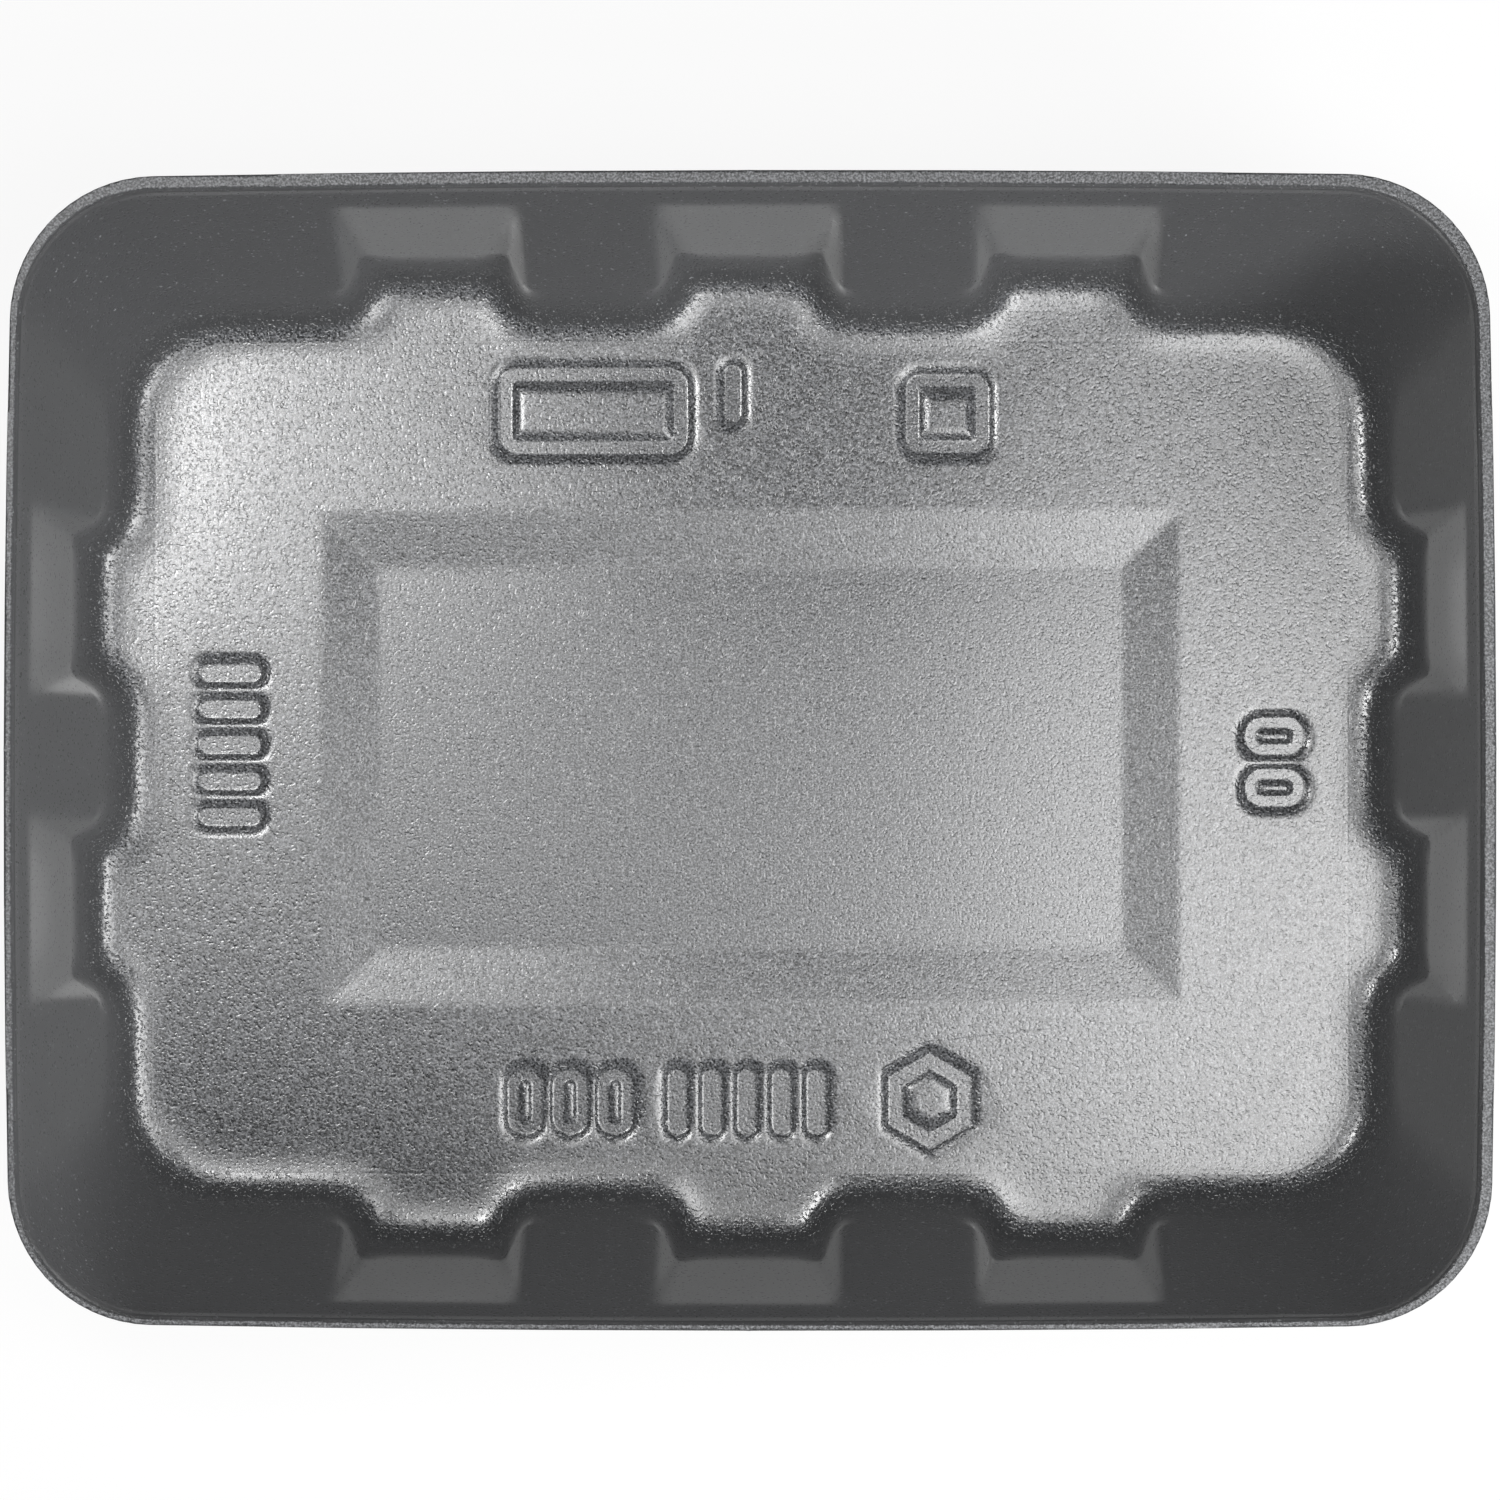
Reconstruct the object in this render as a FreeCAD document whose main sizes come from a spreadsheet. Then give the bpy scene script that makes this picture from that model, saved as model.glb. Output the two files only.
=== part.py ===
import FreeCAD, Part
import math
import os
import Sketcher
from FreeCAD import Placement, Rotation, Vector

# Foam food tray, thermoformed from one sheet of expanded polystyrene.
# Frame: millimetres, +Z up, origin on the standing face under the middle of the punched rim.
# +X runs along the tray's length and +Y along its width.
#
# Three forms are modelled as bodies and combined: the cavity that the upper mould presses,
# the outside that the lower mould holds one sheet thickness away, and the punch that trims
# the rim. Both moulds have bowed walls that lean outwards, with wedge-shaped flutes: the
# flat panel of a flute is steeper than the wall, so it starts level with the wall near
# the rim and stands well behind it at the foot.

doc = FreeCAD.newDocument("foam_tray")
sizes = doc.addObject("Spreadsheet::Sheet", "sizes")

# ---- driving dimensions, millimetres ----
driving = [
    # punched outline and sheet
    ("tray_length", 225.0),
    ("tray_width", 175.0),
    ("tray_height", 37.0),
    ("sheet_thickness", 3.2),
    ("trim_corner_radius", 22.0),
    ("long_side_bow", 1.2),
    ("short_side_bow", 1.4),
    # where the punch leaves the moulded form, from the middle of the outline
    ("mould_offset_x", -0.35),
    ("mould_offset_y", -0.5),
    # rim: flat band, the small step that the mould's clamp leaves, then a steep lip
    ("rim_band", 1.6),
    ("clamp_step", 0.4),
    ("clamp_ledge", 0.25),
    ("lip_depth", 2.0),
    ("lip_run", 0.5),
    # walls, by how far they lean in from lip to foot
    ("long_wall_run", 16.6),
    ("short_wall_run", 12.2),
    ("foot_corner_radius", 17.5),
    ("foot_bow", 0.3),
    ("foot_fillet", 6.0),
    # flutes: the drop is from the lip to where a flute starts, the mouth is the width
    # on the wall's face, and the root is how far a flute's form reaches behind that face
    ("flute_drop", 3.4),
    ("flute_mouth", 28.5),
    ("flute_root", 5.0),
    ("long_flute_count", 3),
    ("long_flute_pitch", 49.0),
    ("long_flute_width", 20.5),
    ("long_flute_depth", 7.7),
    ("short_flute_count", 2),
    ("short_flute_pitch", 47.0),
    ("short_flute_width", 19.0),
    ("short_flute_depth", 6.0),
    # sunk panel in the middle of the floor
    ("panel_length", 133.5),
    ("panel_width", 76.7),
    ("panel_bevel", 8.7),
    ("panel_sink", 0.8),
    # how far the cavity form stands above the rim, so that it cuts cleanly
    ("cut_clearance", 3.0),
]

# ---- dimensions that follow from them ----
derived = [
    ("cavity_floor_level", "sheet_thickness"),
    ("cavity_top_level", "tray_height - lip_depth"),
    ("outside_floor_level", "0"),
    ("outside_top_level", "tray_height"),
    ("ledge_level", "tray_height - clamp_step"),
    ("panel_level", "cavity_floor_level - panel_sink"),
    ("wall_rise", "cavity_top_level - cavity_floor_level"),
    ("flute_rise", "wall_rise - flute_drop"),
    ("mouth_corner_radius", "trim_corner_radius - rim_band"),
    ("lip_corner_radius", "mouth_corner_radius - clamp_ledge"),
    ("cavity_top_radius", "lip_corner_radius - lip_run"),
    ("cavity_foot_radius", "foot_corner_radius"),
    ("outside_top_radius", "cavity_top_radius + sheet_thickness"),
    ("outside_foot_radius", "cavity_foot_radius + sheet_thickness"),
    ("outside_foot_fillet", "foot_fillet + sheet_thickness"),
]
for side, along, across in (("long", "tray_length", "tray_width"),
                            ("short", "tray_width", "tray_length")):
    derived += [
        # bow radii, from half the side and the bow at its middle
        (side + "_rim_bow_radius", "pow(%s / 2; 2) / (2 * %s_side_bow)" % (along, side)),
        (side + "_foot_bow_radius", "pow(%s / 2; 2) / (2 * foot_bow)" % along),
        # half sizes, measured to this side: punched outline, mouth of the cavity and lip
        (side + "_trim_half", "%s / 2" % across),
        (side + "_mouth_half", "%s_trim_half - rim_band" % side),
        (side + "_lip_half", "%s_mouth_half - clamp_ledge" % side),
        # cavity wall and its flutes; slopes are run over rise
        ("cavity_%s_top" % side, "%s_lip_half - lip_run" % side),
        ("cavity_%s_foot" % side, "cavity_%s_top - %s_wall_run" % (side, side)),
        (side + "_slope", "%s_wall_run / wall_rise" % side),
        (side + "_flute_slope", "%s_slope - %s_flute_depth / flute_rise" % (side, side)),
        (side + "_flare", "(flute_mouth - %s_flute_width) / (2 * %s_flute_depth)" % (side, side)),
        (side + "_step_angle", "%s_flute_pitch / %s_rim_bow_radius * 180 / pi" % (side, side)),
        ("cavity_%s_depth" % side, "%s_flute_depth" % side),
        ("cavity_%s_lead" % side, "flute_drop * %s_flute_depth / flute_rise" % side),
        ("cavity_%s_mouth" % side, "flute_mouth"),
        # one sheet thickness square to the wall, the panel and the cheeks, taken level
        (side + "_wall_skin", "sheet_thickness * sqrt(1 + pow(%s_slope; 2))" % side),
        (side + "_panel_skin", "sheet_thickness * sqrt(1 + pow(%s_flute_slope; 2))" % side),
        (side + "_cheek_skin", "sheet_thickness * sqrt(1 + pow(%s_flare; 2))" % side),
        # outside wall and its flutes, that far from the cavity's
        ("outside_%s_top" % side,
         "cavity_%s_top + lip_depth * %s_slope + %s_wall_skin" % (side, side, side)),
        ("outside_%s_foot" % side,
         "cavity_%s_foot - sheet_thickness * %s_slope + %s_wall_skin" % (side, side, side)),
        ("outside_%s_depth" % side,
         "%s_flute_depth + sheet_thickness * (%s_slope - %s_flute_slope)"
         " + %s_panel_skin - %s_wall_skin" % (side, side, side, side, side)),
        ("outside_%s_lead" % side,
         "(flute_drop + lip_depth) * %s_flute_depth / flute_rise"
         " + %s_wall_skin - %s_panel_skin" % (side, side, side)),
        ("outside_%s_mouth" % side,
         "flute_mouth + 2 * (%s_cheek_skin - %s_flare * %s_wall_skin)" % (side, side, side)),
    ]

for row, (name, content) in enumerate(driving + derived, start=1):
    is_driving = row <= len(driving)
    sizes.set("A%d" % row, name)
    sizes.set("B%d" % row, str(content) if is_driving else "=" + content)
    sizes.setAlias("B%d" % row, name)
doc.recompute()


def size(name):
    return float(sizes.get(name))


def origin_plane(body, role):
    return [plane for plane in body.Origin.OriginFeatures if plane.Role == role][0]


def new_sketch(body, name, level):
    """A level sketch of the body, at the height that the sheet gives."""
    sketch = body.newObject("Sketcher::SketchObject", name)
    sketch.AttachmentSupport = [(origin_plane(body, "XY_Plane"), "")]
    sketch.MapMode = "FlatFace"
    sketch.AttachmentOffset = Placement(Vector(0, 0, size(level)), Rotation())
    sketch.setExpression("AttachmentOffset.Base.z", "sizes." + level)
    return sketch


def add_dimension(sketch, expression, value, kind, *places):
    """A dimension of the sketch, bound to the sheet."""
    index = sketch.addConstraint(Sketcher.Constraint(kind, *places, value))
    sketch.setExpression("Constraints[%d]" % index, expression)


def corner_centre(half_x, half_y, radius, bow_x, bow_y):
    """Where the two side arcs' circles, each reduced by the corner radius, cross."""
    side_centre = Vector(half_x - bow_x, 0, 0)
    end_centre = Vector(0, half_y - bow_y, 0)
    span = end_centre - side_centre
    reach = (span.Length ** 2 + (bow_x - radius) ** 2 - (bow_y - radius) ** 2) / (2 * span.Length)
    offset = math.sqrt((bow_x - radius) ** 2 - reach ** 2)
    along = Vector(span).normalize()
    outward = Vector(along.y, -along.x, 0)
    if outward.x < 0:
        outward = outward * -1
    return side_centre + along * reach + outward * offset


def bowed_outline(body, name, level, half_x, half_y, radius, bow_x, bow_y):
    """Rounded rectangle whose four sides swell outwards as large arcs.

    half_x and half_y name the half sizes at the middle of the sides, radius the corners',
    bow_x the bow radius of the sides that face X and bow_y of those that face Y.
    """
    sketch = new_sketch(body, name, level)
    hx, hy, r, rx, ry = [size(word) for word in (half_x, half_y, radius, bow_x, bow_y)]
    corner = corner_centre(hx, hy, r, rx, ry)
    side_angle = math.atan2(corner.y, corner.x - (hx - rx))
    end_angle = math.atan2(corner.y - (hy - ry), corner.x)

    def arc(x, y, arc_radius, start, end):
        circle = Part.Circle(Vector(x, y, 0), Vector(0, 0, 1), arc_radius)
        sketch.addGeometry(Part.ArcOfCircle(circle, start, end))

    # anticlockwise from the side that faces +X: sides have even numbers, corners odd
    pi = math.pi
    arc(hx - rx, 0, rx, -side_angle, side_angle)
    arc(corner.x, corner.y, r, side_angle, end_angle)
    arc(0, hy - ry, ry, end_angle, pi - end_angle)
    arc(-corner.x, corner.y, r, pi - end_angle, pi - side_angle)
    arc(rx - hx, 0, rx, pi - side_angle, pi + side_angle)
    arc(-corner.x, -corner.y, r, pi + side_angle, pi + end_angle)
    arc(0, ry - hy, ry, pi + end_angle, -end_angle)
    arc(corner.x, -corner.y, r, -end_angle, -side_angle)

    for index in range(8):
        sketch.addConstraint(Sketcher.Constraint("Tangent", index, 2, (index + 1) % 8, 1))
    for index in (0, 4):
        sketch.addConstraint(Sketcher.Constraint("PointOnObject", index, 3, -1))
        add_dimension(sketch, "sizes." + bow_x, rx, "Radius", index)
    for index in (2, 6):
        sketch.addConstraint(Sketcher.Constraint("PointOnObject", index, 3, -2))
        add_dimension(sketch, "sizes." + bow_y, ry, "Radius", index)
    for index in (1, 3, 5, 7):
        add_dimension(sketch, "sizes." + radius, r, "Radius", index)
    inset_x = "sizes.%s - sizes.%s" % (bow_x, half_x)
    inset_y = "sizes.%s - sizes.%s" % (bow_y, half_y)
    add_dimension(sketch, inset_x, rx - hx, "DistanceX", 0, 3, -1, 1)
    add_dimension(sketch, inset_x, rx - hx, "DistanceX", -1, 1, 4, 3)
    add_dimension(sketch, inset_y, ry - hy, "DistanceY", 2, 3, -1, 1)
    add_dimension(sketch, inset_y, ry - hy, "DistanceY", -1, 1, 6, 3)
    return sketch


def centred_shape(sketch, near_y, near_half, far_y, far_half):
    """Four-sided shape, symmetrical about the sketch's Y axis, between two level edges.

    Each argument is an expression on the sheet; the half widths are those of the edges.
    """
    y1, w1, y2, w2 = [float(sketch.evalExpression(text))
                      for text in (near_y, near_half, far_y, far_half)]
    corners = [Vector(-w1, y1, 0), Vector(w1, y1, 0), Vector(w2, y2, 0), Vector(-w2, y2, 0)]
    for index in range(4):
        sketch.addGeometry(Part.LineSegment(corners[index], corners[(index + 1) % 4]))
    for index in range(4):
        sketch.addConstraint(Sketcher.Constraint("Coincident", index, 2, (index + 1) % 4, 1))
    # the near edge is drawn left to right and the far edge right to left
    for edge, left, right in ((0, 1, 2), (2, 2, 1)):
        y_text, y, half_text, half = ((near_y, y1, near_half, w1) if edge == 0
                                      else (far_y, y2, far_half, w2))
        sketch.addConstraint(Sketcher.Constraint("Symmetric", edge, 1, edge, 2, -2))
        add_dimension(sketch, "2 * (%s)" % half_text, 2 * half, "DistanceX", edge, left, edge, right)
        add_dimension(sketch, y_text, y, "DistanceY", -1, 1, edge, 1)


def loft(body, name, profile, section):
    feature = body.newObject("PartDesign::AdditiveLoft", name)
    feature.Profile = profile
    feature.Sections = [section]
    feature.Ruled = True
    doc.recompute()


def flute_sketch(body, form, side, level):
    """Section of the first flute of a row, drawn about the centre of the wall's bow."""
    at_floor = level == "floor"
    wall = "sizes.%s_%s" % (form, side)
    bow = "sizes.%s_rim_bow_radius" % side
    row_turn = "(sizes.%s_flute_count - 1) / 2 * sizes.%s_step_angle" % (side, side)
    side_turn = 0 if side == "long" else -90

    sketch = new_sketch(body, "%s_%s_flute_%s" % (form, side, level), "%s_%s_level" % (form, level))
    sketch.setExpression("AttachmentOffset.Base." + ("y" if side == "long" else "x"),
                         "%s_top - %s" % (wall, bow))
    sketch.setExpression("AttachmentOffset.Rotation.Angle", "%d + %s" % (side_turn, row_turn))
    doc.recompute()

    # the flare is the same at every depth, so both sections lie on the same two cheeks
    face = "%s + %s_foot - %s_top" % (bow, wall, wall) if at_floor else bow
    depth = wall + "_depth" if at_floor else "-%s_lead" % wall
    half_mouth = "%s_mouth / 2" % wall
    flare = "sizes.%s_flare" % side
    centred_shape(sketch,
                  "%s - sizes.flute_root" % face, "%s + %s * sizes.flute_root" % (half_mouth, flare),
                  "%s + %s" % (face, depth), "%s - %s * (%s)" % (half_mouth, flare, depth))
    return sketch


def flute_row(body, form, side):
    """The flutes of one pair of facing walls, as wedges added to the form.

    The first wedge stands at one end of the row; a polar pattern about the centre of the
    wall's bow repeats it along the bow, and a mirror puts the row on the facing wall.
    """
    foot_section = flute_sketch(body, form, side, "floor")
    top_section = flute_sketch(body, form, side, "top")
    name = "%s_%s_flute" % (form, side)
    loft(body, name, foot_section, top_section)

    row = body.newObject("PartDesign::MultiTransform", name + "s")
    row.Originals = [doc.getObject(name)]
    along_bow = body.newObject("PartDesign::PolarPattern", name + "_spacing")
    along_bow.Axis = (foot_section, ["N_Axis"])
    along_bow.Reversed = True
    along_bow.setExpression("Occurrences", "sizes.%s_flute_count" % side)
    along_bow.setExpression("Angle", "(sizes.%s_flute_count - 1) * sizes.%s_step_angle" % (side, side))
    facing_wall = body.newObject("PartDesign::Mirrored", name + "_mirror")
    role = "XZ_Plane" if side == "long" else "YZ_Plane"
    facing_wall.MirrorPlane = (origin_plane(body, role), [""])
    row.Transformations = [along_bow, facing_wall]
    body.Tip = row
    doc.recompute()
    return row


def rounded_foot(body, name, base, level, radius):
    """Fillet round the whole foot, flutes included: every edge at the given level."""
    level_slack = 0.001
    foot_edges = ["Edge%d" % number for number, edge in enumerate(base.Shape.Edges, start=1)
                  if edge.BoundBox.ZMax < size(level) + level_slack]
    fillet = body.newObject("PartDesign::Fillet", name)
    fillet.Base = (base, foot_edges)
    fillet.setExpression("Radius", "sizes." + radius)
    doc.recompute()


def mould_form(form, fillet_radius):
    """Body of one mould face: leaning bowed walls, flutes and the rounded foot."""
    body = doc.addObject("PartDesign::Body", form)
    foot = bowed_outline(body, form + "_foot", form + "_floor_level",
                         form + "_short_foot", form + "_long_foot", form + "_foot_radius",
                         "short_foot_bow_radius", "long_foot_bow_radius")
    top = bowed_outline(body, form + "_top", form + "_top_level",
                        form + "_short_top", form + "_long_top", form + "_top_radius",
                        "short_rim_bow_radius", "long_rim_bow_radius")
    doc.recompute()
    loft(body, form + "_walls", foot, top)
    flute_row(body, form, "long")
    fluted_walls = flute_row(body, form, "short")
    rounded_foot(body, form + "_rounded_foot", fluted_walls, form + "_floor_level", fillet_radius)
    body.setExpression("Placement.Base.x", "sizes.mould_offset_x")
    body.setExpression("Placement.Base.y", "sizes.mould_offset_y")
    return body


def panel_outline(body, name, level, inset):
    """Rectangle of the sunk panel, drawn in on every side by the given expression."""
    sketch = new_sketch(body, name, level)
    half_x = "sizes.panel_length / 2 - " + inset
    half_y = "sizes.panel_width / 2 - " + inset
    centred_shape(sketch, "-(%s)" % half_y, half_x, half_y, half_x)
    return sketch


def open_cavity():
    """The cavity form with lip and mouth above its walls and the panel sunk in its floor."""
    body = mould_form("cavity", "foot_fillet")
    lip = bowed_outline(body, "lip", "ledge_level", "short_lip_half", "long_lip_half",
                        "lip_corner_radius", "short_rim_bow_radius", "long_rim_bow_radius")
    mouth = bowed_outline(body, "mouth", "ledge_level", "short_mouth_half", "long_mouth_half",
                          "mouth_corner_radius", "short_rim_bow_radius", "long_rim_bow_radius")
    doc.recompute()
    loft(body, "lip_slope", doc.getObject("cavity_top"), lip)
    opening = body.newObject("PartDesign::Pad", "opening")
    opening.Profile = mouth
    opening.setExpression("Length", "sizes.clamp_step + sizes.cut_clearance")
    doc.recompute()
    panel_edge = panel_outline(body, "panel_edge", "cavity_floor_level", "0")
    panel_bed = panel_outline(body, "panel_bed", "panel_level", "sizes.panel_bevel")
    doc.recompute()
    loft(body, "sunk_panel", panel_edge, panel_bed)
    return body


def punched_outline():
    """The prism that the punch leaves: the tray's outline through its whole height."""
    body = doc.addObject("PartDesign::Body", "punch")
    trim = bowed_outline(body, "trim", "outside_floor_level", "short_trim_half", "long_trim_half",
                         "trim_corner_radius", "short_rim_bow_radius", "long_rim_bow_radius")
    blank = body.newObject("PartDesign::Pad", "blank")
    blank.Profile = trim
    blank.setExpression("Length", "sizes.tray_height")
    doc.recompute()
    return body


cavity = open_cavity()
outside = mould_form("outside", "outside_foot_fillet")
punch = punched_outline()

trimmed = doc.addObject("Part::MultiCommon", "trimmed")
trimmed.Shapes = [outside, punch]
tray = doc.addObject("Part::Cut", "tray")
tray.Base = trimmed
tray.Tool = cavity
tray.Refine = True
tray.Label = "foam_tray"
doc.recompute()

for item in doc.Objects:
    if "Invalid" in item.State or "Error" in item.State:
        raise RuntimeError("%s did not build: %s" % (item.Name, item.State))
if tray.Shape.isNull() or not tray.Shape.isValid() or len(tray.Shape.Solids) != 1:
    raise RuntimeError("foam_tray is not one valid solid")

os.makedirs("parts", exist_ok=True)
tray.Shape.exportStep("parts/%s.step" % tray.Label)
box = tray.Shape.optimalBoundingBox()
print("foam_tray: %.1f x %.1f x %.1f mm, %.1f cm3"
      % (box.XLength, box.YLength, box.ZLength, tray.Shape.Volume / 1000))
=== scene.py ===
import math

import bpy
import numpy as np
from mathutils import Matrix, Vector


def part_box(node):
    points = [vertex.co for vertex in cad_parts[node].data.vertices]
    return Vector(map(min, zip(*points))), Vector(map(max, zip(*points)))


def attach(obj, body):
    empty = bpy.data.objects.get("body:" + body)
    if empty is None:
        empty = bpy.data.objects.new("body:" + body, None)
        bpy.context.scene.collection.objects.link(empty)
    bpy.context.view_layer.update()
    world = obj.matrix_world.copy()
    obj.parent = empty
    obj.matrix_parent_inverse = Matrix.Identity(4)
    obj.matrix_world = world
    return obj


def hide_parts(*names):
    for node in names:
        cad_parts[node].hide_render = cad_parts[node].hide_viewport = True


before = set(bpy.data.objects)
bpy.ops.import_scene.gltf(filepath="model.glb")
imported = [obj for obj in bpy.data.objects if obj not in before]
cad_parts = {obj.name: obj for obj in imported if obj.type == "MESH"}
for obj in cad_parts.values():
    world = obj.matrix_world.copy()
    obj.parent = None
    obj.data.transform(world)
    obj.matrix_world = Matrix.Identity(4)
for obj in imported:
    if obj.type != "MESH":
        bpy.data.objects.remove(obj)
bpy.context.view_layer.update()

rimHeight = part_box("foam_tray")[1][2]
mm = 0.001

scene = bpy.context.scene
scene.view_settings.view_transform = "Standard"
print("frame loaded")


def holdOnly(piece):
    # one active, selected object, so the next operator touches nothing else
    if bpy.context.mode != "OBJECT":
        bpy.ops.object.mode_set(mode="OBJECT")
    bpy.ops.object.select_all(action="DESELECT")
    bpy.context.view_layer.objects.active = piece
    piece.select_set(True)


def applyModifier(piece, kind, **values):
    holdOnly(piece)
    modifier = piece.modifiers.new(kind.lower(), kind)
    for key, value in values.items():
        setattr(modifier, key, value)
    bpy.ops.object.modifier_apply(modifier=modifier.name)


def readRows(items, name):
    # one row of three numbers for each vertex or face
    values = np.empty(len(items) * 3)
    items.foreach_get(name, values)
    return values.reshape(-1, 3)


def fade(values):
    # from 0 where a zone starts to 1 where it is complete
    return np.clip(values, 0, 1)


def pickFaces(piece, wanted):
    # selects faces in code, with the edit mode opened on exactly those
    holdOnly(piece)
    bpy.ops.object.mode_set(mode="EDIT")
    bpy.ops.mesh.select_mode(type="FACE")
    bpy.ops.mesh.select_all(action="DESELECT")
    bpy.ops.object.mode_set(mode="OBJECT")
    piece.data.polygons.foreach_set("select", wanted)
    piece.data.update()
    bpy.ops.object.mode_set(mode="EDIT")


def vertexGroup(piece, name, weights, levels=20):
    # the weights are rounded, so that each level is filled in one call
    group = piece.vertex_groups.new(name=name)
    rounded = np.round(weights * levels).astype(int)
    for level in range(1, levels + 1):
        members = np.nonzero(rounded == level)[0].tolist()
        if members:
            group.add(members, level / levels, "REPLACE")


tray = {
    "mergeGap": 0.01 * mm,
    "voxel": 0.5 * mm,            # mesh size of the moulded skin
    "wallPasses": 32,             # smoothing that rounds the flute cheeks
    "footPasses": 230,            # further smoothing round the foot, where the foam is thickest
    "footZone": 10.5 * mm,        # height that the further passes reach
    "footFade": 4 * mm,           # below which they reach their full strength
    "panelZone": (71 * mm, 43 * mm),   # half the stretch of floor whose bevel stays crisp
    "panelFade": 3 * mm,
    "panelShare": 0.2,            # share of the wall smoothing that this stretch still gets
    "rimPasses": 1,
    "rimLift": 0.5 * mm,          # the punched edge is drawn up square within this height
    "rimZone": 4.2 * mm,          # height below the rim's top that is wrapped onto the CAD node
    "rimFade": 1.5 * mm,
    "rimGuard": 0.4,              # share of that height that the wall smoothing leaves alone
    "rimFine": 0.8 * mm,          # height below the rim's top where no face is thinned out
    "looseTriangles": 112000,     # what is left of the plain stretches
    "floorLevel": 3.2 * mm,       # the food side of the floor
    "centre": (-0.35 * mm, -0.5 * mm),
}

cadTray = bpy.data.objects["foam_tray"]
holdOnly(cadTray)
bpy.ops.object.duplicate()
shell = bpy.context.object
shell.name = "trayShell"
holdOnly(shell)
bpy.ops.object.mode_set(mode="EDIT")
bpy.ops.mesh.select_all(action="SELECT")
bpy.ops.mesh.remove_doubles(threshold=tray["mergeGap"])
bpy.ops.object.mode_set(mode="OBJECT")
voxel = tray["voxel"] * 1
applyModifier(shell, "REMESH", mode="VOXEL", voxel_size=voxel)
print("moulded skin", len(shell.data.polygons), "faces")


def soften(passes, groupName):
    applyModifier(shell, "SMOOTH", factor=0.5, iterations=passes, vertex_group=groupName)


# walls and foot are softened, and the centre panel is mostly spared
places = readRows(shell.data.vertices, "co")
heights = places[:, 2]
depths = rimHeight - heights
pastPanel = (np.abs(places[:, :2] - tray["centre"]) - tray["panelZone"]).max(axis=1)
ring = fade(pastPanel / tray["panelFade"])
ringShare = tray["panelShare"] + (1 - tray["panelShare"]) * ring
vertexGroup(shell, "wallSoft", fade(depths / tray["rimZone"] - tray["rimGuard"]) * ringShare)
vertexGroup(shell, "footSoft", fade((tray["footZone"] - heights) / tray["footFade"]) * ring)
soften(tray["wallPasses"], "wallSoft")
soften(tray["footPasses"], "footSoft")

# the rim goes back onto the CAD node's own surface, and its punched edge is drawn square
vertexGroup(shell, "rimCrisp", fade((heights - rimHeight + tray["rimZone"]) / tray["rimFade"]))
applyModifier(shell, "SHRINKWRAP", target=cadTray, wrap_method="NEAREST_SURFACEPOINT",
              vertex_group="rimCrisp")
soften(tray["rimPasses"], "rimCrisp")
places = readRows(shell.data.vertices, "co")
directions = readRows(shell.data.vertices, "normal")
outward = (directions[:, :2] * places[:, :2]).sum(axis=1) > 0
places[outward & (places[:, 2] > rimHeight - tray["rimLift"]), 2] = rimHeight
shell.data.vertices.foreach_set("co", places.ravel())
shell.data.update()
print("softened")

stamps = {
    "depth": 0.5 * mm,
    "slope": 2.1 * mm,            # width of the wall round each stamp, steepest at the stamp's edge
    "crispEdge": 0.5 * mm,        # how far from that edge the mesh is split finer
    "floorBand": 0.8 * mm,        # how far from the floor's level the mesh still counts as floor
    "cornerSegments": 8,
}
# generic marks pressed in the floor: places, from the tray's centre, and sizes are in millimetres,
# and a mark with a line is a frame of that width
marks = {
    "plateBlank": {"place": (-24.5, 54.0), "size": (29.6, 13.6), "corner": 3.0, "line": 2.2},
    "cavityBar": {"place": (-2.7, 56.7), "size": (2.6, 9.0), "corner": 1.2},
    "squareBlank": {"place": (30.7, 53.5), "size": (13.0, 12.4), "corner": 2.4, "line": 2.1},
    "leftRungs": {"place": (-81.1, 2.0), "size": (9.6, 3.0), "corner": 1.4,
                  "count": 5, "pitch": (0, 5.6)},
    "rightRings": {"place": (81.6, -0.8), "size": (9.3, 6.0), "corner": 2.8, "line": 1.8,
                   "count": 2, "pitch": (0, 8.0)},
    "tallyShort": {"place": (-28.0, -53.6), "size": (5.4, 10.2), "corner": 2.6, "line": 1.7,
                   "count": 3, "pitch": (7.0, 0)},
    "tallyLong": {"place": (-0.5, -53.6), "size": (3.0, 10.2), "corner": 1.4,
                  "count": 5, "pitch": (5.4, 0)},
    "hexBlank": {"place": (28.0, -53.4), "size": (13.0, 15.0), "sides": 6, "line": 2.3},
}


def rowOf(mark):
    # how many plates the mark has, and how far apart they lie
    return mark.get("count", 1), mark.get("pitch", (0, 0))


def stampPlate(mark, shift):
    x = tray["centre"][0] + (mark["place"][0] + shift[0]) * mm
    y = tray["centre"][1] + (mark["place"][1] + shift[1]) * mm
    spot = (x, y, tray["floorLevel"])
    if "sides" in mark:
        radius = mark["size"][1] / 2 * mm
        bpy.ops.mesh.primitive_circle_add(vertices=mark["sides"], radius=radius,
                                          fill_type="NGON", location=spot)
        bpy.ops.object.mode_set(mode="EDIT")
    else:
        bpy.ops.mesh.primitive_plane_add(size=mm, location=spot)
        bpy.ops.object.mode_set(mode="EDIT")
        bpy.ops.transform.resize(value=(mark["size"][0], mark["size"][1], 1))
        bpy.ops.mesh.bevel(offset=mark["corner"] * mm, segments=stamps["cornerSegments"],
                           affect="VERTICES")
    bpy.ops.mesh.select_mode(type="FACE")
    bpy.ops.mesh.select_all(action="SELECT")
    if "line" in mark:
        bpy.ops.mesh.inset(thickness=mark["line"] * mm)
        bpy.ops.mesh.delete(type="FACE")
    bpy.ops.object.mode_set(mode="OBJECT")
    return bpy.context.object


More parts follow.
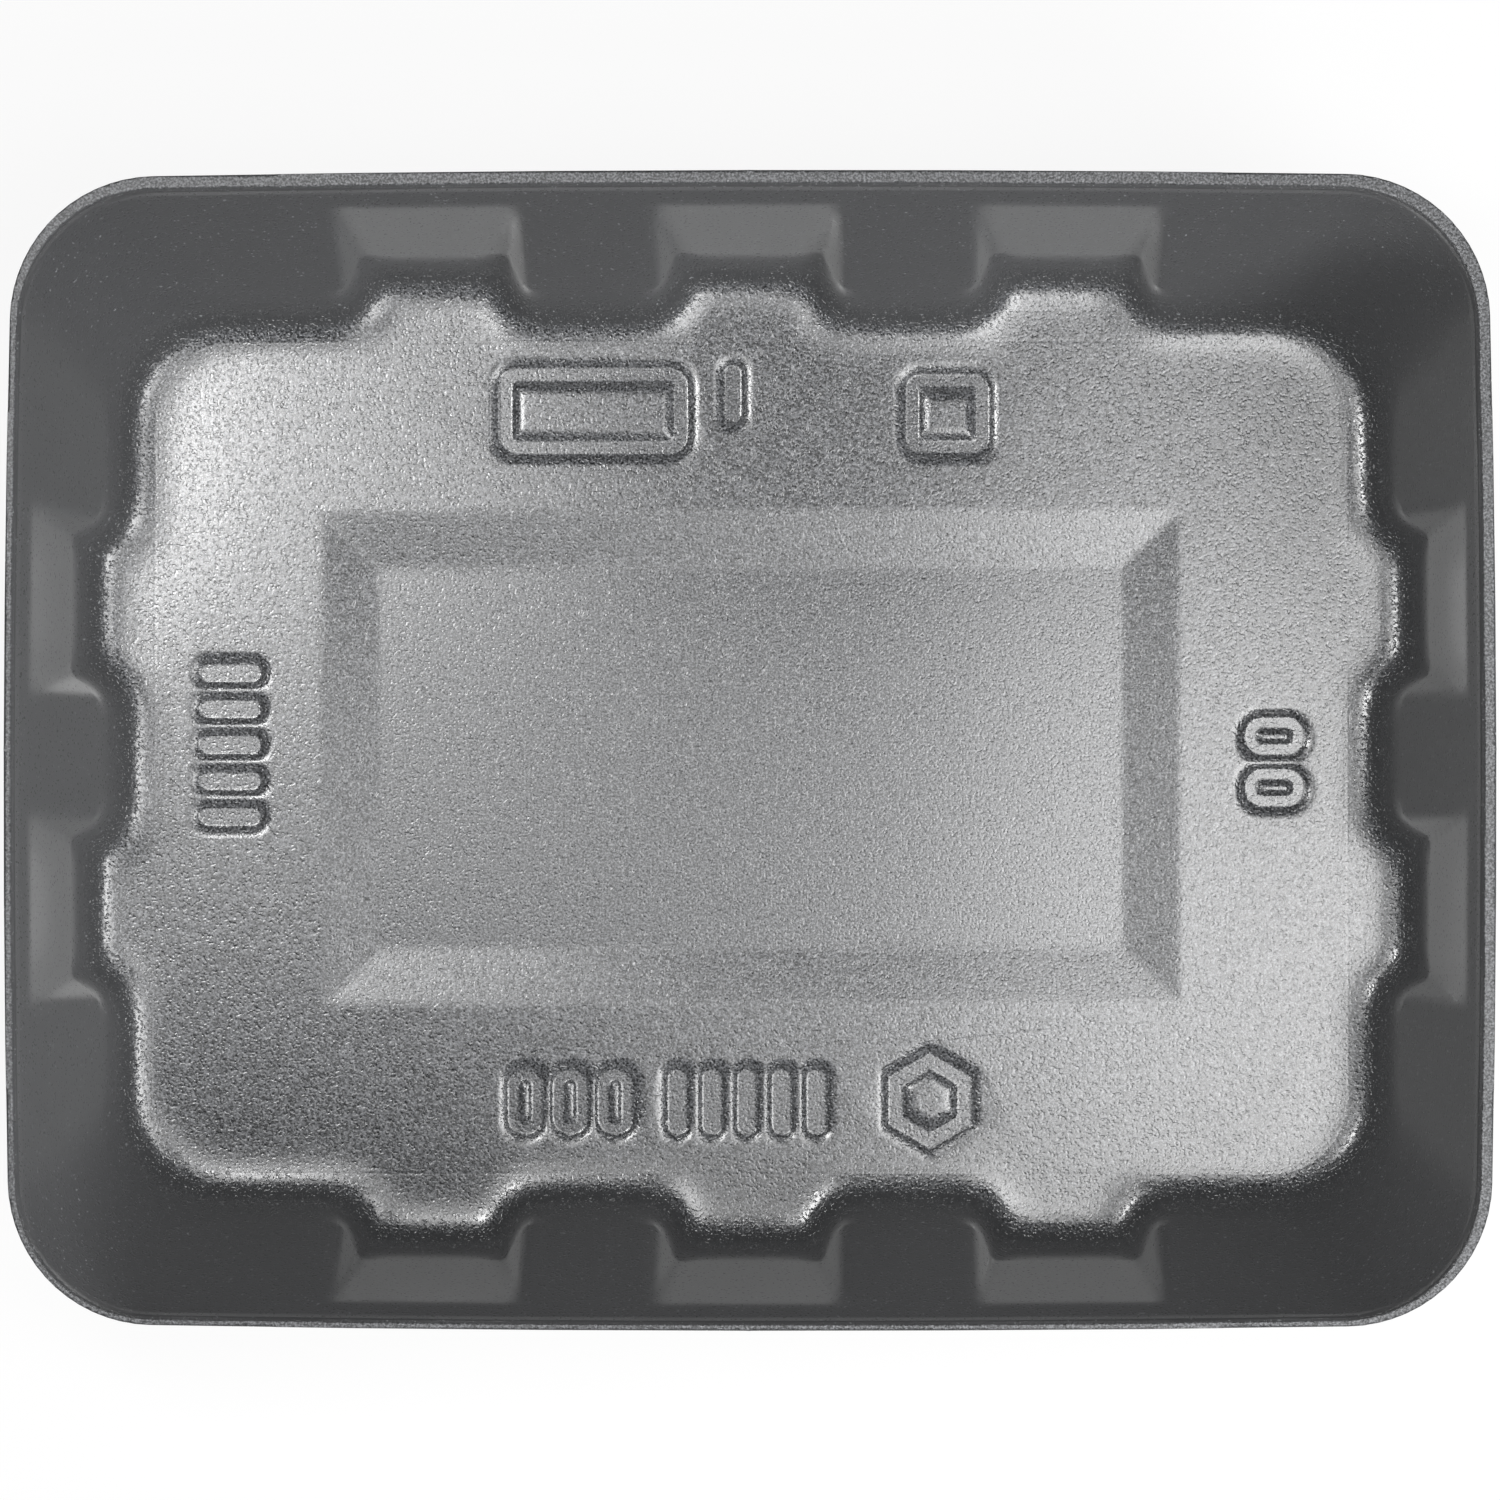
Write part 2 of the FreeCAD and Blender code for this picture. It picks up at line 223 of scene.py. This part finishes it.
plates = []
for mark in marks.values():
    count, pitch = rowOf(mark)
    for k in range(count):
        step = k - (count - 1) / 2
        plates.append(stampPlate(mark, (pitch[0] * step, pitch[1] * step)))
holdOnly(plates[0])
for plate in plates:
    plate.select_set(True)
bpy.ops.object.join()
bpy.ops.object.transform_apply(location=True, rotation=True, scale=True)
stampDie = bpy.context.object
stampDie.name = "stampDie"
print("stamp die", len(plates), "plates")


def borderSegments(piece):
    # both ends of each edge that only one face has
    owners = {}
    for face in piece.data.polygons:
        for key in face.edge_keys:
            owners[key] = owners.get(key, 0) + 1
    spots = readRows(piece.data.vertices, "co")
    keys = [key for key, count in owners.items() if count == 1]
    return spots[[key[0] for key in keys]], spots[[key[1] for key in keys]]


def nearBorder(points, piece, reach):
    # which points lie within reach of the piece's border
    starts, ends = borderSegments(piece)
    near = np.zeros(len(points), dtype=bool)
    for start, end in zip(starts, ends):
        run = end - start
        share = fade((points - start) @ run / (run @ run))
        gap = points - start - share[:, None] * run
        near |= (gap ** 2).sum(1) < reach ** 2
    return near


def nearStamps(points):
    # which points lie on the floor within a stamp's slope
    near = np.zeros(len(points), dtype=bool)
    for mark in marks.values():
        count, pitch = rowOf(mark)
        inside = np.abs(points[:, 2] - tray["floorLevel"]) < stamps["floorBand"]
        for axis in (0, 1):
            half = (mark["size"][axis] + pitch[axis] * (count - 1)) / 2 * mm + stamps["slope"]
            middle = tray["centre"][axis] + mark["place"][axis] * mm
            inside &= np.abs(points[:, axis] - middle) < half
        near |= inside
    return near


corners = readRows(shell.data.vertices, "co")
kept = nearStamps(corners) | (corners[:, 2] > rimHeight - tray["rimFine"])
vertexGroup(shell, "plain", np.where(kept, 0.0, 1.0))
leftOver = (2 * kept.sum() + tray["looseTriangles"]) / (2 * len(shell.data.polygons))
applyModifier(shell, "DECIMATE", ratio=leftOver, vertex_group="plain",
              vertex_group_factor=1000)
print("thinned to", len(shell.data.polygons), "faces,", kept.sum(), "corners kept")

middles = readRows(shell.data.polygons, "center")
onFloor = nearStamps(middles)
fine = np.zeros(len(middles), dtype=bool)
fine[onFloor] = nearBorder(middles[onFloor], stampDie, stamps["crispEdge"])
pickFaces(shell, fine)
bpy.ops.mesh.subdivide(number_cuts=1)
bpy.ops.object.mode_set(mode="OBJECT")
vertexGroup(shell, "stamped", np.ones(len(shell.data.vertices)))
applyModifier(shell, "VERTEX_WEIGHT_PROXIMITY", vertex_group="stamped", target=stampDie,
              proximity_mode="GEOMETRY", proximity_geometry={"FACE"},
              min_dist=stamps["slope"], max_dist=0.0, falloff_type="SHARP")
applyModifier(shell, "DISPLACE", direction="Z", mid_level=0, strength=-stamps["depth"],
              vertex_group="stamped")
bpy.data.objects.remove(stampDie)
print("stamps pressed")

holdOnly(shell)
bpy.ops.object.shade_smooth()
applyModifier(shell, "WEIGHTED_NORMAL", mode="FACE_AREA", weight=50)
shell.data.calc_loop_triangles()
print("tray shell", len(shell.data.loop_triangles), "triangles")

# a pair of levels is where a change starts and where it is complete;
# the level of the skin is 1 where it lies flat and 0 where it stands upright
skin = {
    "black": (0.049, 0.050, 0.052, 1),
    "paintedPoreShade": (0.010, 0.011, 0.012, 1),   # painted shade between the cells of the grain
    "paintedCellHighlight": (0.20, 0.204, 0.215, 1),    # painted highlight on the cells' tops, where they catch the light
    "paintedGlintColour": (0.30, 0.31, 0.32, 1),      # sparse painted glints, bright specks that stand for light glinting off the grain
    "glintLevels": (0.74, 0.84),
    "glintShare": 0.6,
    "speckleSize": 0.34 * mm,
    "speckleLevels": (0.3, 0.82),
    "speckledSkin": (0.85, 0.99),       # only level skin, floor and rim, gets the painted speckles of highlight and shade
    "specular": 1.0,
    "floorRoughness": 0.18,
    "wallRoughness": 0.30,
    "levelSkin": (0.45, 0.9),           # from the walls' roughness to the floor's
    "uneven": 0.12,                     # how much the roughness follows the grain
    "rimRough": 0.32,                   # what punching adds on the rim
    "punchedEdge": (0.4 * mm, 0.1 * mm),   # how far below the rim's top that starts and is complete
    "sheen": 0.84,
    "sheenRoughness": 0.35,
    "grainSize": 0.42 * mm,
    "poreLevels": (0.2, 0.5),
    "waveSize": 0.8 * mm,
    "waviness": 0.4,
    "grainDepth": 0.08 * mm,
    "wallGrain": 0.1,                   # share of the grain's depth on steep walls
    "footSkin": (0.35, 0.8),            # from there to the rounded foot, where it is full
    "floorGrain": 0.24,                 # share on the level floor and rim
    "floorSkin": (0.93, 0.995),
}
# lines that the mould's clamp and its insert leave, as rounded rectangles about the tray's centre
moulded = {
    "clampHalf": (110.9 * mm, 85.9 * mm),
    "clampCorner": 20.4 * mm,
    "clampBow": (1.4 * mm, 1.2 * mm),
    "clampDepth": 1.5,                  # both depths are shares of the grain's
    "clampRough": 0.4,
    "insertHalf": (92.9 * mm, 64.8 * mm),
    "insertCorner": 12 * mm,
    "insertDepth": 0.12,
    "lineWidth": 0.4 * mm,
}


def mathNode(tree, operation, first, second=0.0):
    node = tree.nodes.new("ShaderNodeMath")
    node.operation = operation
    for socket, value in zip(node.inputs, (first, second)):
        if isinstance(value, (int, float)):
            socket.default_value = value
        else:
            tree.links.new(value, socket)
    return node.outputs[0]


def plus(tree, first, second):
    return mathNode(tree, "ADD", first, second)


def times(tree, first, second):
    return mathNode(tree, "MULTIPLY", first, second)


def spread(tree, value, levels, lowOut=0.0, highOut=1.0):
    node = tree.nodes.new("ShaderNodeMapRange")
    node.interpolation_type = "SMOOTHSTEP"
    limits = {"From Min": levels[0], "From Max": levels[1], "To Min": lowOut, "To Max": highOut}
    for name, number in limits.items():
        node.inputs[name].default_value = number
    tree.links.new(value, node.inputs["Value"])
    return node.outputs[0]


def mixColour(tree, factor, first, second):
    node = tree.nodes.new("ShaderNodeMix")
    node.data_type = "RGBA"
    sockets = [socket for socket in node.inputs if socket.type == "RGBA"]
    tree.links.new(factor, node.inputs["Factor"])
    for socket, value in zip(sockets, (first, second)):
        if isinstance(value, tuple):
            socket.default_value = value
        else:
            tree.links.new(value, socket)
    return [socket for socket in node.outputs if socket.type == "RGBA"][0]


def noise(tree, place, size, detail=0):
    node = tree.nodes.new("ShaderNodeTexNoise")
    node.inputs["Scale"].default_value = 1 / size
    node.inputs["Detail"].default_value = detail
    tree.links.new(place, node.inputs["Vector"])
    return node.outputs["Fac"]


def axisOf(tree, vector, axis):
    node = tree.nodes.new("ShaderNodeSeparateXYZ")
    tree.links.new(vector, node.inputs[0])
    return node.outputs[axis]


def outlineLine(tree, place, half, corner, bow):
    # 1 on a line that follows a rounded rectangle with bowed sides, 0 away from it
    run = [mathNode(tree, "SUBTRACT", axisOf(tree, place, k), tray["centre"][k]) for k in (0, 1)]
    squares = []
    for k in (0, 1):
        along = times(tree, run[1 - k], 1 / half[1 - k])
        sag = times(tree, times(tree, along, along), bow[k])
        reach = plus(tree, mathNode(tree, "ABSOLUTE", run[k]), sag)
        over = mathNode(tree, "MAXIMUM", mathNode(tree, "SUBTRACT", reach, half[k] - corner), 0.0)
        squares.append(times(tree, over, over))
    radius = mathNode(tree, "SQRT", plus(tree, squares[0], squares[1]))
    gap = mathNode(tree, "ABSOLUTE", mathNode(tree, "SUBTRACT", radius, corner))
    return spread(tree, gap, (0.0, moulded["lineWidth"]), 1.0, 0.0)


def foamSkin():
    material = bpy.data.materials.new("blackFoamSkin")
    material.use_nodes = True
    tree = material.node_tree
    shader = tree.nodes["Principled BSDF"]
    shader.inputs["Specular IOR Level"].default_value = skin["specular"]
    shader.inputs["Sheen Weight"].default_value = skin["sheen"]
    shader.inputs["Sheen Roughness"].default_value = skin["sheenRoughness"]
    place = tree.nodes.new("ShaderNodeTexCoord").outputs["Object"]
    facing = tree.nodes.new("ShaderNodeNewGeometry").outputs["Normal"]
    level = mathNode(tree, "ABSOLUTE", axisOf(tree, facing, "Z"))
    grain = noise(tree, place, skin["grainSize"])
    clampLine = outlineLine(tree, place, moulded["clampHalf"], moulded["clampCorner"],
                            moulded["clampBow"])
    insertLine = outlineLine(tree, place, moulded["insertHalf"], moulded["insertCorner"], (0, 0))

    # small sunken pores over a slight waviness, deepest in the rounded foot,
    # where the sheet is stretched least
    pores = spread(tree, grain, skin["poreLevels"])
    waves = times(tree, noise(tree, place, skin["waveSize"]), skin["waviness"])
    wallShare = spread(tree, level, skin["footSkin"], skin["wallGrain"], 1.0)
    floorShare = spread(tree, level, skin["floorSkin"], 1.0, skin["floorGrain"])
    relief = times(tree, plus(tree, pores, waves), times(tree, wallShare, floorShare))
    lines = plus(tree, times(tree, clampLine, moulded["clampDepth"]),
                 times(tree, insertLine, moulded["insertDepth"]))
    bump = tree.nodes.new("ShaderNodeBump")
    bump.inputs["Strength"].default_value = 1
    bump.inputs["Distance"].default_value = skin["grainDepth"]
    tree.links.new(mathNode(tree, "SUBTRACT", relief, lines), bump.inputs["Height"])
    tree.links.new(bump.outputs[0], shader.inputs["Normal"])

    # the floor is glossier than the walls, and the punched rim is the dullest
    dull = spread(tree, spread(tree, level, skin["levelSkin"]), (0.0, 1.0),
                  skin["wallRoughness"], skin["floorRoughness"])
    uneven = times(tree, mathNode(tree, "SUBTRACT", grain, 0.5), skin["uneven"])   # 0.5 is its mean
    punchStart, punchFull = [rimHeight - depth for depth in skin["punchedEdge"]]
    punched = spread(tree, axisOf(tree, place, "Z"), (punchStart, punchFull), 0.0, skin["rimRough"])
    rubbed = plus(tree, plus(tree, uneven, punched), times(tree, clampLine, moulded["clampRough"]))
    tree.links.new(plus(tree, dull, rubbed), shader.inputs["Roughness"])

    # painted highlight and shade: on level skin the base colour is speckled with pale cell tops that
    # stand for light caught by the grain and dark gaps that stand for shade between the cells
    paintedSpeckleMask = spread(tree, noise(tree, place, skin["speckleSize"], detail=1), skin["speckleLevels"])
    paintedGrainHighlightAndShade = mixColour(tree, paintedSpeckleMask, skin["paintedPoreShade"], skin["paintedCellHighlight"])
    foam = mixColour(tree, spread(tree, level, skin["speckledSkin"]), skin["black"], paintedGrainHighlightAndShade)
    # painted glints: sparse bright specks in the base colour that stand for light glinting off the
    # grain
    paintedGlints = times(tree, spread(tree, grain, skin["glintLevels"]), skin["glintShare"])
    tree.links.new(mixColour(tree, paintedGlints, foam, skin["paintedGlintColour"]), shader.inputs["Base Color"])
    return material


shell.data.materials.clear()
shell.data.materials.append(foamSkin())
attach(shell, "root")
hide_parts("foam_tray")
print("foam skin")

sweep = {
    "size": 6,
    "gap": 0.05 * mm,          # under the tray, so that the two faces do not coincide
    "white": (0.85, 0.85, 0.85, 1),
    "roughness": 0.9,
    "lift": 0.9,               # share of plain white that the camera sees over the shaded floor
}


def whiteSweep():
    material = bpy.data.materials.new("whiteSweep")
    material.use_nodes = True
    tree = material.node_tree
    shader = tree.nodes["Principled BSDF"]
    shader.inputs["Base Color"].default_value = sweep["white"]
    shader.inputs["Roughness"].default_value = sweep["roughness"]
    plain = tree.nodes.new("ShaderNodeEmission")
    plain.inputs["Strength"].default_value = 1
    ray = tree.nodes.new("ShaderNodeLightPath")
    seen = mathNode(tree, "MAXIMUM", ray.outputs["Is Camera Ray"], ray.outputs["Is Glossy Ray"])
    mix = tree.nodes.new("ShaderNodeMixShader")
    tree.links.new(times(tree, seen, sweep["lift"]), mix.inputs[0])
    tree.links.new(shader.outputs[0], mix.inputs[1])
    tree.links.new(plain.outputs[0], mix.inputs[2])
    tree.links.new(mix.outputs[0], tree.nodes["Material Output"].inputs["Surface"])
    return material


bpy.ops.mesh.primitive_plane_add(size=sweep["size"], location=(0, 0, -sweep["gap"]))
floor = bpy.context.object
floor.name = "studioFloor"
floor.data.materials.append(whiteSweep())

studio = {
    "boxHeight": 0.433,         # of the lowest overhead box above the rim
    "layer": 0.002,             # the boxes hang one above another, so that none hides in the next
    "sideDistance": 0.8,
    "sideTarget": (0, 0, 0.02),
    "worldGlow": 0.02,
}
# these hang close over the tray, out of the camera's sight; places and sizes are in metres
overheadBoxes = {
    "keyLeft": {"place": (-0.18, 0.09), "size": (0.09, 0.09), "glow": 16.6},
    "keyRight": {"place": (0.18, -0.055), "size": (0.09, 0.18), "glow": 8.0},
    "wideLeft": {"place": (-0.135, 0.045), "size": (0.18, 0.18), "glow": 2.75},
    "stripRight": {"place": (0.09, 0), "size": (0.09, 0.27), "glow": 4.3},
    "backLeft": {"place": (-0.09, 0.135), "size": (0.09, 0.18), "glow": 2.3},
    "frontRight": {"place": (0.09, -0.045), "size": (0.27, 0.18), "glow": 2.1},
}
# these stand round the tray; azimuth and rise are in degrees
sideBoxes = {
    "frontCorner": {"azimuth": 324, "rise": 30, "size": (0.40, 0.24), "glow": 21.5},
    "frontHigh": {"azimuth": 285, "rise": 52, "size": (0.80, 0.24), "glow": 2.6},
}


def softbox(name, place, target, box):
    bpy.ops.object.light_add(type="AREA", location=place)
    lamp = bpy.context.object
    lamp.name = name
    lamp.data.shape = "RECTANGLE"
    lamp.data.size, lamp.data.size_y = box["size"]
    lamp.data.energy = box["glow"] * math.pi * box["size"][0] * box["size"][1]
    aim = Vector(target) - Vector(place)
    lamp.rotation_euler = aim.to_track_quat("-Z", "Y").to_euler()
    lamp.visible_camera = False
    return lamp


for layer, (name, box) in enumerate(overheadBoxes.items()):
    x, y = box["place"]
    hung = rimHeight + studio["boxHeight"] + layer * studio["layer"]
    softbox(name, (x, y, hung), (x, y, 0), box)
for name, box in sideBoxes.items():
    turn = math.radians(box["azimuth"])
    rise = math.radians(box["rise"])
    reach = Vector((math.cos(rise) * math.cos(turn), math.cos(rise) * math.sin(turn), math.sin(rise)))
    stand = Vector(studio["sideTarget"]) + reach * studio["sideDistance"]
    lamp = softbox(name, stand, studio["sideTarget"], box)
    lamp.visible_glossy = False   # no bright band in the rounded foot
world = bpy.data.worlds.new("studio")
scene.world = world
world.use_nodes = True
background = world.node_tree.nodes["Background"]
background.inputs["Color"].default_value = (1, 1, 1, 1)
background.inputs["Strength"].default_value = studio["worldGlow"]
print("lights hung")

view = {
    "aside": (0.018, -0.022),   # from right above the tray's middle
    "above": 1.0,               # over the rim
    "lens": 159.35,
    "sensor": 36,
    "shift": (0.001, -0.0005),
}
bpy.ops.object.camera_add(location=(*view["aside"], rimHeight + view["above"]))
camera = bpy.context.object
camera.data.lens = view["lens"]
camera.data.sensor_width = view["sensor"]
camera.data.shift_x, camera.data.shift_y = view["shift"]
# turned back to the middle of the rim
camera.rotation_euler = (math.atan(-view["aside"][1] / view["above"]),
                         math.atan(view["aside"][0] / view["above"]), 0)
scene.camera = camera
